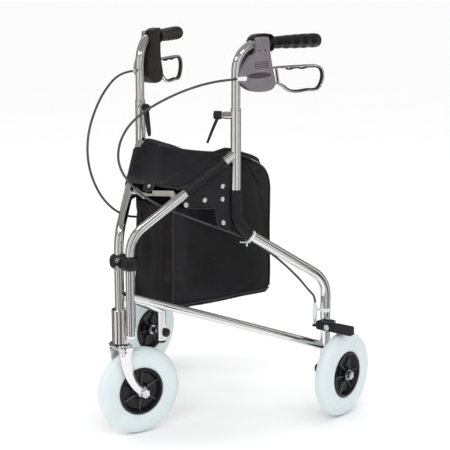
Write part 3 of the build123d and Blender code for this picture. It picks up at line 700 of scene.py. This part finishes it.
def housing(name, side):
    """Two-part brake housing: a grey outer shell and a black inner one."""
    place, body = partial(grip_point, side), f"{name}_handle"
    shell = dressed(f"{name}_housing_shell", slab(flat_line(HOUSING_OUTLINE, 4), place, .0042, .015, .0038, 4),
                    body, GREY, [f"{name}_brake_housing"], 30)
    inner = dressed(f"{name}_housing_back", slab(flat_line(BACK_OUTLINE, 4), place, -.0148, .004, .0022, 3), body,
                    BLACK, [f"{name}_brake_housing"], 30)
    slot = [(.07, .8), (.112, .8), (.112, .724), (.076, .732)]
    tube = sweep([grip_point(side, s, GRIP_Z) for s in (.03, .0605, .09)], circle(.0096, 32))
    post = sweep([grip_point(side, 0, z) for z in (.6, .7, .8)], circle(.0098, 32))
    for part in (shell, inner):
        cut(part, slab(slot, place, -.0055, .0055, 0))
        cut(part, mesh_of("tube", *tube))
        cut(part, mesh_of("post", *post))
    cut(shell, slab(ellipse((.0505, .7615), (.0305, .0062)), place, .0135, .02, 0))
    cut(shell, slab(rounded_rectangle((.0385, .7755), (.0735, .7905), .003), place, .0139, .02, 0))
    dressed(f"{name}_housing_oval", slab(ellipse((.0505, .7615), (.03, .0058)), place, .01, .0139, .0004),
            body, DARK_GREY)
    floor_plate = slab(rounded_rectangle((.039, .776), (.073, .79), .0026), place, .0125, .0142, 0)
    dressed(f"{name}_housing_panel", floor_plate, body, DARK_GREY)
    for i, z in enumerate((.777, .7815, .786)):
        bar = slab(rounded_rectangle((.0405, z), (.0715, z + .0028), .0012), place, .013, .0147, .0003)
        dressed(f"{name}_housing_rib_{i}", bar, body, GREY)
    for i, s in enumerate((.05, .065)):
        centre = grip_point(side, s, .813, .012)
        screw = lathe([(0, 0), (.0024, 0), (.0024, .0032), (.0018, .0036), (0, .003)], centre, grip_normal(side), 24)
        piece(f"{name}_housing_screw_{i}", *screw, body, DARK_GREY, slot="black_plastic")
    ferrule = [(0, 0), (.005, 0), (.0052, .003), (.0046, .012), (.004, .0185), (.0036, .0215), (.0028, .0222),
               (0, .0222)]
    start = grip_point(side, .0145, CABLE_Z, .0142)
    way = grip_point(side, 0, CABLE_Z, .0142) - grip_point(side, .01, CABLE_Z, .0142)
    piece(f"{name}_ferrule", *lathe(ferrule, start, way, 32), body, WHITE)


def rounded_rectangle(low, high, radius, steps=3):
    centre = ((low[0] + high[0]) / 2, (low[1] + high[1]) / 2)
    box = rounded_box(high[0] - low[0], high[1] - low[1], radius, steps)
    return [(centre[0] + a, centre[1] + b) for a, b in box]


LEVER_LINE = [
    (.078, .7725), (.11, .7742), (.15, .7742), (.195, .7738), (.217, .7722), (.2295, .765), (.2342, .753),
    (.2325, .74), (.2255, .727), (.213, .7195), (.19, .72), (.17, .7185), (.15, .7195), (.135, .7245), (.12, .735),
    (.107, .7405), (.092, .742), (.078, .7455)]


def lever(name, side):
    """Loop lever: a flat chrome band on edge, lined with black plastic that has finger waves under its top."""
    body, normal = f"{name}_lever", grip_normal(side)
    loop = smooth_line([(s, z, 0) for s, z in LEVER_LINE], 6)
    line = [grip_point(side, p.x, p.y) for p in loop]
    band = sweep(line, rounded_box(.0042, .009, .0015, 3), normal=normal)
    root = slab(flat_line([(.06, .7525), (.06, .766), (.072, .7745), (.09, .7765), (.09, .741),
                          (.074, .744)], 3), partial(grip_point, side), -.0044, .0044, .001)
    strut_line = [grip_point(side, s, z) for s, z in ((.1055, .7735), (.1085, .757), (.112, .7395))]
    strut = sweep(strut_line, rounded_box(.0032, .0078, .0012, 3), normal=normal)
    piece(f"{name}_loop_lever", *merged(band, shape_of(root), strut), body, CHROME, [f"{name}_brake_lever"], 35)
    inner, middle = [], Vector((.172, .747, 0))
    for p in loop:
        if p.x <= .112:
            continue
        inward = .0032
        if p.y > .77:
            inward += sum(.003 * bell(p.x, scallop, .0065) for scallop in (.14, .176))
        way = Vector((0, middle.y - p.y, 0)) if .13 < p.x < .215 else middle - p
        inner.append(p + way.normalized() * inward)
    lining = sweep([grip_point(side, p.x, p.y) for p in inner], rounded_box(.003, .0084, .0013, 3), normal=normal)
    piece(f"{name}_lever_lining", *lining, body, BLACK)


def clamp(name, side):
    """Moulded clamp arm on its chrome screw."""
    body = f"{name}_clamp"
    start, way = clamp_point(side, 0), clamp_point(side, .01) - clamp_point(side, 0)
    screw = [(0, .0105), (.004, .0105), (.004, .0244), (.0066, .0246), (.0072, .0252), (.0072, .0292), (.0066, .0298),
             (0, .03)]
    piece(f"{name}_clamp_screw", *lathe(screw, start, way, 40), body, CHROME, [f"{name}_clamp_lever"])
    hub = [(0, .03), (.0078, .03), (.0089, .0312), (.009, .044), (.008, .0462), (.0055, .0471), (0, .0473)]
    line = smooth_line([clamp_point(side, .036, CLAMP_Z - .001), clamp_point(side, .042, CLAMP_Z - .014),
                        clamp_point(side, .0505, CLAMP_Z - .034), clamp_point(side, .0605, CLAMP_Z - .0595)], 6)
    across = way.normalized().cross(Vector((0, 0, 1)))

    def paddle(t):
        width = .015 - .006 * t - .0035 * max(0, t - .85) / .15
        return rounded_box(.0068 - .0018 * t, width, .0024, 4)

    arm = sweep(line, paddle, normal=across)
    piece(f"{name}_clamp_arm", *merged(lathe(hub, start, way, 40), arm), body, BLACK, [f"{name}_clamp_lever"], 35)


def handles():
    for name, side in SIDES.items():
        grip(name, side)
        housing(name, side)
        lever(name, side)
        clamp(name, side)
    surfaces = {
        CHROME: ["main_tube", "handle_tube", "lower_bar", "front_tube"],
        STEEL: ["post_bush", "lever_pin", "arm_bolt", "rear_axle", "rear_bearings"], BLACK: ["leg_cap"],
    }
    for surface, kinds in surfaces.items():
        dress(surface, *[f"{name}_{kind}" for name in SIDES for kind in kinds])
    dress(CHROME, "caster_housing")
    dress(STEEL, "caster_bearings", "stem_nut", "front_axle", "front_bearings", "bracket_bolts", "apex_rivet")
    dress(LINK_STEEL, "left_link", "right_link")
    dress(WHITE, "left_post_cap")


# ---------------------------------------------------------------- brakes
def spring(name, side):
    low, high, coils, radius = .2019, .2131, 4, .0032
    line = []
    for i in range(coils * 20 + 1):
        turn = tau * i / 20
        x = side * (ARM_TIP[0] + radius * cos(turn))
        line.append(design(x, ARM_TIP[1] + side * radius * sin(turn), low + (high - low) * i / (coils * 20)))
    points, faces = sweep(line, circle(.0006, 10))
    coil = piece(f"{name}_spring", points, faces, f"{name}_frame", STEEL, [f"{name}_return_spring"])
    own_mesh(coil)


def brake(name, side):
    """Brake arm with its rubber-faced shoe, the cable's boot and the anchor bracket."""
    back = LEG_Y - MAIN_RADIUS - .0004
    low, high = ARM_LOW, ARM_HIGH
    place = lambda a, b, h: design(side * a, h, b)
    outline = rounded_rectangle((LEG_X - .009, low), (LEG_X + .084, high), .004, 5)
    arm = dressed(f"{name}_brake_bar", slab(outline, place, back - .013, back, .0022, 3), f"{name}_arm",
                  BLACK, [f"{name}_brake_arm"], 30)
    notch = slab([(LEG_X + .036, low - .01), (LEG_X + .0385, low - .01), (LEG_X + .0385, high + .01),
                  (LEG_X + .036, high + .01)], place, back - .02, back - .0118, 0)
    cut(arm, notch)
    shoe = rounded_rectangle((LEG_X + .0395, low - .0002), (LEG_X + .0838, high + .0002), .004, 5)
    dressed(f"{name}_brake_shoe", slab(shoe, place, back - .0134, back + .0004, .002, 3), f"{name}_arm",
            SHOE, sharp=30)
    tongue = slab(rounded_rectangle((ARM_TIP[0] - .005, low + .004), (LEG_X - .006, low + .008), .0015, 3),
                  place, ARM_TIP[1] - .004, ARM_TIP[1] + .004, .0006)
    dressed(f"{name}_brake_tongue", tongue, f"{name}_arm", BLACK)
    wire = sweep([design(side * ARM_TIP[0], ARM_TIP[1], z) for z in (.2, .2065, ARM_HIGH)], circle(.0008, 10))
    piece(f"{name}_inner_wire", *wire, f"{name}_arm", STEEL)
    boot = [(0, .01), (.0028, .01), (.0028, 0), (.0044, 0), (.005, .0015), (.005, .012), (.0046, .0135), (.005, .015),
            (.005, .0185), (.0044, .02), (.0046, .026), (.0042, .032), (.0034, .0365), (.003, .038), (0, .0382)]
    base = design(side * ARM_TIP[0], ARM_TIP[1], .2136)
    piece(f"{name}_cable_boot", *lathe(boot, base, (0, 0, 1), 36), f"{name}_frame", WHITE, [f"{name}_cable_adjuster"])
    leg = design(side * LEG_X, LEG_Y, 0)
    reach = Vector((leg.x - base.x, leg.y - base.y, 0))
    across = Vector((-reach.y, reach.x, 0)).normalized()
    strip = [base.xy.to_3d() + reach * share + Vector((0, 0, CLIP_Z)) for share in (.18, .34, .5)]
    bracket = sweep(strip, rounded_box(.0072, .0048, .001, 3), normal=Vector((0, 0, 1)))
    collar = lathe([(.0111, -.004), (.0124, -.004), (.0128, -.0034), (.0128, .0034), (.0124, .004),
                    (.0111, .004)], design(side * LEG_X, LEG_Y, CLIP_Z), (0, 0, 1), 48)
    piece(f"{name}_cable_clip", *merged(bracket, collar), f"{name}_frame", WHITE)
    spring(name, side)


# ---------------------------------------------------------------- hinge bracket and spreader
def bracket():
    """Two round collars joined by a waist, one clamped to the right post and one that lets the left post turn."""
    half = [(.0102, .0148), (.013, .0148), (.016, .0128), (.0182, .0098), (.0195, .0055), (.0199, 0)]
    collar = [(r, -a) for r, a in half] + [(r, a) for r, a in reversed(half[:-1])]
    parts = [lathe(collar, design(k * POST_X, 0, BRACKET_Z), (0, 0, 1), 56) for k in (-1, 1)]
    outline = [(-.014, -.0175), (-.006, -.014), (.006, -.014), (.014, -.0175), (.0165, -.012), (.0165, .012),
               (.014, .0175), (.006, .014), (-.006, .014), (-.014, .0175), (-.0165, .012), (-.0165, -.012)]
    waist = slab(outline, design, BRACKET_Z - .0125, BRACKET_Z + .0125, .003)
    piece("front_hinge_bracket", *merged(*parts, shape_of(waist)), "right_frame", BLACK, ["hinge_bracket"], 50)


# ---------------------------------------------------------------- soft parts
def wrinkle(point, scale, amount, seed):
    return noise.noise(Vector(point) * scale + Vector((seed, seed * 2.7, 0))) * amount


def sleeve(name, side):
    """Vinyl wrapped round the diagonal and the handle post, and the panel between them."""
    body = f"{name}_frame"
    ends = [side_point(side, u, DIAGONAL_CORNER_Z + DIAGONAL_RISE * u) for u in DIAGONAL_WRAP]
    line = [ends[0].lerp(ends[1], i / 40) for i in range(41)]

    def wrapped(base):
        def section(t):
            lip = .0006 * bell(t, .02, .02) + .0006 * bell(t, .98, .02)
            ring = []
            for c, s in circle(1, 36):
                rough = .0007 * noise.noise(Vector((2.6 * c, t * 9, side)))
                r = base + lip + rough + .0005 * noise.noise(Vector((6 * c, t * 26, side + 4)))
                ring.append((r * c, r * s))
            return ring
        return section

    upper = hollow(line, wrapped(.0117), circle(.0098, 36))
    corner = side_point(side, HANDLE_U, MAIN_CORNER_Z)
    below = (side_point(side, LEG_U, LEG_CORNER_Z) - corner).normalized()
    top = side_point(side, HANDLE_U, WRAP_TOP_Z)
    back = BEND_RADIUS * tan(.5 * below.angle(Vector((0, 0, -1))))
    start, end = corner + Vector((0, 0, back)), corner + below * back
    arc = []
    for i in range(1, 14):
        t = i / 14
        arc.append((1 - t) ** 2 * start + 2 * t * (1 - t) * corner + t * t * end)
    low = side_point(side, WRAP_END_U, MAIN_CORNER_Z - (MAIN_CORNER_Z - LEG_CORNER_Z) * .032 / .218)
    straight = [top.lerp(start, i / 10) for i in range(11)]
    tail = [end.lerp(low, i / 10) for i in range(11)]
    post = hollow(straight + arc + tail, wrapped(.0127), circle(.0108, 36))
    hem = [(.212, .4365), (.199, .447), (.1925, .466), (.19, .484), (.176, .4865), (.152, .488), (.132, .4895),
           (.119, .4965)]
    outline = flat_line([(.117, .512), (.15, .536), (.185, .56), (.212, .576), (.226, .576), (.2262, .54),
                         (.2262, .5), (.2262, .468), (.227, .438)] + hem, 4)
    panel = slab(outline, partial(side_point, side), -.001, .001, .0006, 2)
    for vertex in panel.vertices:
        vertex.co += Vector((.87 * side, -.49, 0)) * wrinkle(vertex.co, 40, .0016, 3)
    piece(f"{name}_vinyl_wrap", *merged(upper, post, shape_of(panel)), body, VINYL, [f"{name}_sleeve"], 50)
    seam = smooth_line([side_point(side, u, z, .0012) for u, z in [(.226, .436)] + hem], 5)
    piece(f"{name}_wrap_piping", *sweep(seam, circle(.0011, 10)), body, PIPING)
    stud = [(0, 0), (.0054, 0), (.0057, .0006), (.0054, .0013), (.0046, .0021), (.003, .0028), (.0014, .0031),
            (0, .0031)]
    out = Vector((side * ALONG[1], -ALONG[0], 0))
    heads = [lathe(stud, side_point(side, u, z, .0009), out, 28) for u, z in STUDS]
    replaced = ["left_studs"] if name == "left" else []
    piece(f"{name}_press_studs", *merged(*heads), body, CHROME, replaced, slot="zinc")


def bag_half_width(y):
    share = (y - BAG_FRONT[1]) / (BAG_REAR[1] - BAG_FRONT[1])
    return BAG_FRONT[0] + (BAG_REAR[0] - BAG_FRONT[0]) * share


def bag_section(z, columns=28):
    """One level of the bag: a rounded trapezium, as (x, y), from the front's middle round to the left."""
    front = between(z, [(BAG_BOTTOM, .101), (.27, BAG_FRONT[1]), (.495, BAG_FRONT[1]), (.5, .115),
                        (.582, .203), (BAG_TOP, .215)])
    rear = between(z, [(BAG_BOTTOM, .3475), (.269, .3545), (.275, BAG_REAR[1]), (.511, BAG_REAR[1]),
                       (.527, .3565), (.544, .349), (.559, .335), (.569, .317), (.576, .299),
                       (.583, .268), (BAG_TOP, .253)])
    wide, half = bag_half_width(front), columns // 2

    def front_point(x):
        fold = cos(pi / 2 * x / wide) ** 2 if z < BAG_SHOULDER else 0.0
        return x, front + .014 * fold * sin(pi * (z - BAG_BOTTOM) / .23)

    points = [front_point(wide * i / half) for i in range(half)]
    for sign, start, end in ((1, front, rear), (-1, rear, front)):
        for i in range(columns):
            y = start + (end - start) * i / columns
            points.append((sign * bag_half_width(y), y))
        if sign > 0:
            points += [(bag_half_width(rear) * (1 - 2 * i / columns), rear) for i in range(columns)]
    return points + [front_point(-wide * (1 - i / half)) for i in range(half)]


def simulate(target, frames, pressure=0, gravity=0, pins=None, shrink=0, limit=.01, stiff=15.0):
    """Runs the cloth for some frames, and keeps the shape it reaches."""
    rest = [v.co.copy() for v in target.data.vertices]
    cloth = target.modifiers.new("cloth", "CLOTH")
    settings = cloth.settings
    settings.quality, settings.mass = 6, .3
    settings.tension_stiffness = settings.compression_stiffness = stiff
    settings.shear_stiffness = stiff * .6
    settings.bending_stiffness = .4
    settings.effector_weights.gravity = gravity
    settings.shrink_min = shrink
    if pressure:
        settings.use_pressure = True
        settings.uniform_pressure_force = pressure
    if pins:
        held = target.vertex_groups.new(name="held")
        held.add(pins, 1.0, "REPLACE")
        settings.vertex_group_mass = "held"
    cloth.point_cache.frame_start, cloth.point_cache.frame_end = 1, frames
    for step in range(1, frames + 1):
        bpy.context.scene.frame_set(step)
    applied(target)
    for vertex, before in zip(target.data.vertices, rest):
        move = vertex.co - before
        if move.length > limit:
            vertex.co = before + move.normalized() * limit
    target.vertex_groups.clear()
    bpy.context.scene.frame_set(1)


def bag():
    levels = [BAG_BOTTOM, .2672, .27, .2745, .28]
    levels += [.28 + .0097 * i for i in range(1, 23)]
    levels += [BAG_SHOULDER, .507, .515, .523, .531, .539, .547, .555, .562, .569, .575, .58, .584, BAG_TOP]
    columns = 28
    around = columns * 4
    shape = capped([[design(x, y, z) for x, y in bag_section(z, columns)] for z in levels])
    shell = piece("bag_shell", *shape, None, VINYL, ["bag_body"], 180)
    pins = [i for i, v in enumerate(shell.data.vertices) if v.co.z > .578]
    simulate(shell, 18, pressure=2.6, gravity=.2, pins=pins, shrink=-.004, limit=.005)
    finer(shell)
    soft_fold(shell)
    corners = {"front_left": columns // 2, "rear_left": columns * 3 // 2, "rear_right": columns * 5 // 2,
               "front_right": columns * 7 // 2}
    rim = shell.data.vertices
    for label, column in corners.items():
        stop = len(levels) - 2 if "rear" in label else levels.index(BAG_SHOULDER)
        seam = [rim[row * around + column].co.copy() for row in range(4, stop)]
        out = Vector((1 if "left" in label else -1, 1 if "rear" in label else -1, 0)) * .0007
        piping(f"bag_piping_{label}", smooth_line([p + out for p in seam[::2] + seam[-1:]], 4), .0017)
    for label, start, stop in (("left", columns // 2, columns * 3 // 2), ("right", columns * 5 // 2, columns * 7 // 2)):
        seam = [rim[3 * around + column].co.copy() for column in range(start, stop + 1, 2)]
        out = Vector((.0007 if label == "left" else -.0007, 0, -.0005))
        piping(f"bag_piping_bottom_{label}", smooth_line([p + out for p in seam], 3), .0017)


def piping(name, line, radius):
    """A round welt along a seam."""
    soft_fold(piece(name, *sweep(line, circle(radius, 10)), None, PIPING))


def soft_fold(made):
    """A soft piece of the bag rides on the right frame, with a mesh of its own."""
    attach(made, "right_frame")
    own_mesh(made)


FLAP_LINE = [(.099, .5315), (.125, .555), (.16, .584), (.19, .6055), (.204, .6105), (.225, .6065), (.258, .596),
             (.29, .586), (.312, .5768), (.32, .572)]


def flap_edge(y):
    """Half width of the cover: it laps onto the sleeves, then passes inside the handle posts."""
    crest = POST_X + y * ALONG[0] / ALONG[1]
    return min(crest + between(y, [(.099, -.013), (.109, .003), (.18, .003), (.186, -.006)]), .1105)


def flap():
    """The cover sheet: it lies over the bag's mouth and slopes down to the spreader in front."""
    line = smooth_line([(y, z, 0) for y, z in FLAP_LINE], 6)
    columns = 48
    points = []
    for p in line:
        half = flap_edge(p.x)
        front = max(0, min(1.0, (p.x - .099) / .104))
        behind = max(0, (p.x - .203) / .117)
        for i in range(columns + 1):
            share = 2 * i / columns - 1
            sag = .013 * (1 - share ** 2) * sin(pi * front) + .007 * (1 - share ** 2) * sin(
                pi * min(1, behind)) + .005 * (1 - share ** 2) * (front if front < 1 else 1 - behind)
            folds = .0045 * bell(share, .85 * front, .16)
            folds += .004 * bell(share, -.62 * front, .2)
            folds *= max(0, sin(pi * front)) ** .7 if front < 1 else 0.0
            x, z = half * share, p.y - sag + folds
            if front < 1 and p.x > .106:
                u = p.x / ALONG[1]
                crest_z = DIAGONAL_CORNER_Z + DIAGONAL_RISE * u + .015
                crest_x = POST_X + u * ALONG[0]
                near = (abs(x) - crest_x) / .0135
                if abs(near) < 1:
                    z = max(z, crest_z - .012 * (1 - sqrt(1 - near ** 2)))
                if abs(share) > .85:
                    z = z + (crest_z - z) * min(1.0, (abs(share) - .85) / .1)
            points.append(design(x, p.x, z))
        hang = between(p.x, [(.108, .002), (.18, .005), (.215, .011), (.32, .01)])
        row = points[-columns - 1:]
        del points[-columns - 1:]
        for edge, side in ((row[0], -1), (row[-1], 1)):
            strip = [edge + Vector((side * .0022, 0, -hang * .4)), edge + Vector((side * .003, 0, -hang))]
            row = list(reversed(strip)) + row if side < 0 else row + strip
        points += row
    columns += 4
    faces = [(r * (columns + 1) + c, r * (columns + 1) + c + 1, (r + 1) * (columns + 1) + c + 1,
              (r + 1) * (columns + 1) + c) for r in range(len(line) - 1) for c in range(columns)]
    cover = piece("bag_cover", points, faces, None, VINYL, ["bag_flap"], 180)
    rows = len(line)
    pins = [r * (columns + 1) + c for r in range(rows) for c in (0, 1, 2, columns - 2, columns - 1, columns)]
    pins += [c for c in range(columns + 1)] + [(rows - 1) * (columns + 1) + c for c in range(columns + 1)]
    simulate(cover, 24, gravity=.8, pins=sorted(set(pins)), shrink=-.03, limit=.009, stiff=10)
    if cover.data.polygons[0].normal.z < 0:
        cover.data.flip_normals()
    rim = [v.co.copy() for v in cover.data.vertices]
    rims = {"front": rim[:columns + 1], "left": rim[columns::2 * (columns + 1)], "right": rim[::2 * (columns + 1)]}
    thick = cover.modifiers.new("thick", "SOLIDIFY")
    thick.thickness, thick.offset = .0016, -1
    finer(cover)
    soft_fold(cover)
    for label, seam in rims.items():
        piping(f"bag_cover_hem_{label}", smooth_line(seam, 2), .0013)


def tab():
    """The cover's tongue, buttoned over the spreader."""
    outline = flat_line([(-.015, 0), (-.0145, .012), (-.0105, .021), (0, .0255), (.0105, .021), (.0145, .012),
                        (.015, 0), (.014, -.01), (.008, -.0145), (0, -.016), (-.008, -.0145), (-.014, -.01)], 3)
    base = design(-.004, .088, .5325)
    up = Vector((0, .55, .835))
    out = Vector((0, -.835, .55))
    place = lambda a, b, h: base + Vector((1, 0, 0)) * a + up * b + out * h
    strap = slab(outline, place, .0005, .0027, .0009, 2)
    tongue = dressed("cover_tab", strap, "right_frame", VINYL, sharp=50)
    stud = [(0, 0), (.004, 0), (.0042, .0005), (.003, .0018), (0, .0025)]
    button = piece("cover_tab_stud", *lathe(stud, place(0, -.002, .0025), out, 28), "right_frame", CHROME, slot="zinc")
    for made in (tongue, button):
        soft_fold(made)


def zip_tie(name, side):
    """A nylon tie that holds the cable to the sloping tube."""
    share = (TIE_U - HANDLE_U) / (LEG_U - HANDLE_U)
    centre = side_point(side, TIE_U, MAIN_CORNER_Z + (LEG_CORNER_Z - MAIN_CORNER_Z) * share)
    way = (side_point(side, LEG_U, LEG_CORNER_Z) - side_point(side, HANDLE_U, MAIN_CORNER_Z)).normalized()
    cable = min(cable_line(name, side), key=lambda p: abs((p - centre).dot(way)))
    to_cable = cable - centre
    to_cable -= way * to_cable.dot(way)
    a = to_cable.normalized()
    b = way.cross(a)
    reach, loop = to_cable.length, []
    for turn in turns(48):
        far = cos(turn) > .45
        middle, radius = (reach, CABLE_RADIUS + .0007) if far else (0, MAIN_RADIUS + .0006)
        loop.append(centre + a * (middle + radius * cos(turn)) + b * (radius * sin(turn)))
    band = sweep(loop, rounded_box(.0011, .0036, .0005, 2), closed=True, normal=way)
    front = b if b.dot(Vector((side * ALONG[1], -ALONG[0], .3))) > 0 else -b
    head = centre + front * (MAIN_RADIUS + .0018) + a * .004
    knot = sweep([head - a * .0028, head + a * .0028], rounded_box(.0048, .0052, .001, 2), normal=way)
    tails = []
    for drift in (-1, 1):
        tail = smooth_line([head, head + a * .007 + way * .001 * drift, head + a * .015 + way * .005 * drift,
                            head + a * .02 + way * .01 * drift], 4)
        tails.append(sweep(tail, rounded_box(.0012, .0034, .0004, 2), normal=way))
    piece(f"{name}_cable_tie", *merged(band, knot, *tails), f"{name}_frame", WHITE)


def rivets():
    """Round rivet heads on the spreader's lugs."""
    for name, side in SIDES.items():
        x = POST_X + LUG_U * ALONG[0] - .017 * ALONG[1]
        y = LUG_U * ALONG[1] + .017 * ALONG[0]
        top = .5181 + (.0033 if side > 0 else 0)
        dome = [(0, 0), (.0052, 0), (.0054, .0008), (.0044, .0022), (.0024, .0031), (0, .0034)]
        piece(f"{name}_lug_rivet", *lathe(dome, design(side * x, y, top), (0, 0, 1), 28), f"{name}_frame", STEEL)


# ---------------------------------------------------------------- the walker
studio()
cables()
wheels()
front_fork()
axle_knobs()
handles()
for name, side in SIDES.items():
    brake(name, side)
    sleeve(name, side)
    zip_tie(name, side)
bracket()
rivets()
bag()
flap()
tab()
